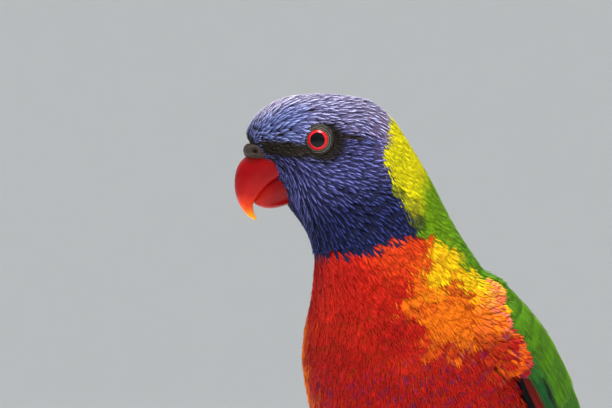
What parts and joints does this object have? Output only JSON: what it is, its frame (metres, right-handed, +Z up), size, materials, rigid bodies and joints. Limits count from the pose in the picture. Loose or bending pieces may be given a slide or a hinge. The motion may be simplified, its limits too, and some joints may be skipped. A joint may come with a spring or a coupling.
{
  "type": "perched parrot display model",
  "caption": "Life-size still model of a rainbow lorikeet with folded wings, gripping a cut branch held by rods on a flat wooden base.",
  "frame": {"origin": "centre of the stand's underside, which is the bottom centre of the bounding box", "axes": "+Z up, the bird's body faces -Y and its left side is +X"},
  "size_m": [0.112, 0.158, 0.2736],
  "materials": {
    "head_feathers": "fine violet-blue feathers with pale shaft streaks",
    "neck_feathers": "soft feathers, dark blue at the throat, lime yellow on the nape and green behind",
    "body_feathers": "soft overlapping feathers, red to orange breast, dark blue belly, green back",
    "wing_tail_feathers": "smooth green flight feathers and coverts",
    "thigh_feathers": "short soft feathers, green and yellow",
    "cere_skin": "bare brown-grey skin",
    "bill": "polished red horn, orange to yellow at the tip",
    "eye": "wet red iris round a black pupil",
    "foot_skin": "grey scaled skin",
    "claw": "satin dark horn",
    "bark": "rough grey-brown bark with pale cut ends",
    "stand_wood": "oiled plain board",
    "stand_metal": "satin rod"
  },
  "bodies": {
    "root": {"head": "head_feathers", "neck": "neck_feathers", "torso": "body_feathers", "tail": "wing_tail_feathers", "cere": "cere_skin", "bill_upper": "bill", "bill_lower": "bill", "eye_left": "eye", "eye_right": "eye", "wing_left": "wing_tail_feathers", "wing_right": "wing_tail_feathers", "thigh_left": "thigh_feathers", "thigh_right": "thigh_feathers", "foot_left": "foot_skin", "foot_right": "foot_skin", "claw_left_inner_front": "claw", "claw_left_outer_front": "claw", "claw_left_inner_back": "claw", "claw_left_outer_back": "claw", "claw_right_inner_front": "claw", "claw_right_outer_front": "claw", "claw_right_inner_back": "claw", "claw_right_outer_back": "claw", "perch": "bark", "stand_base": "stand_wood", "stand_rod_left": "stand_metal", "stand_rod_right": "stand_metal"}
  },
  "joints": []
}
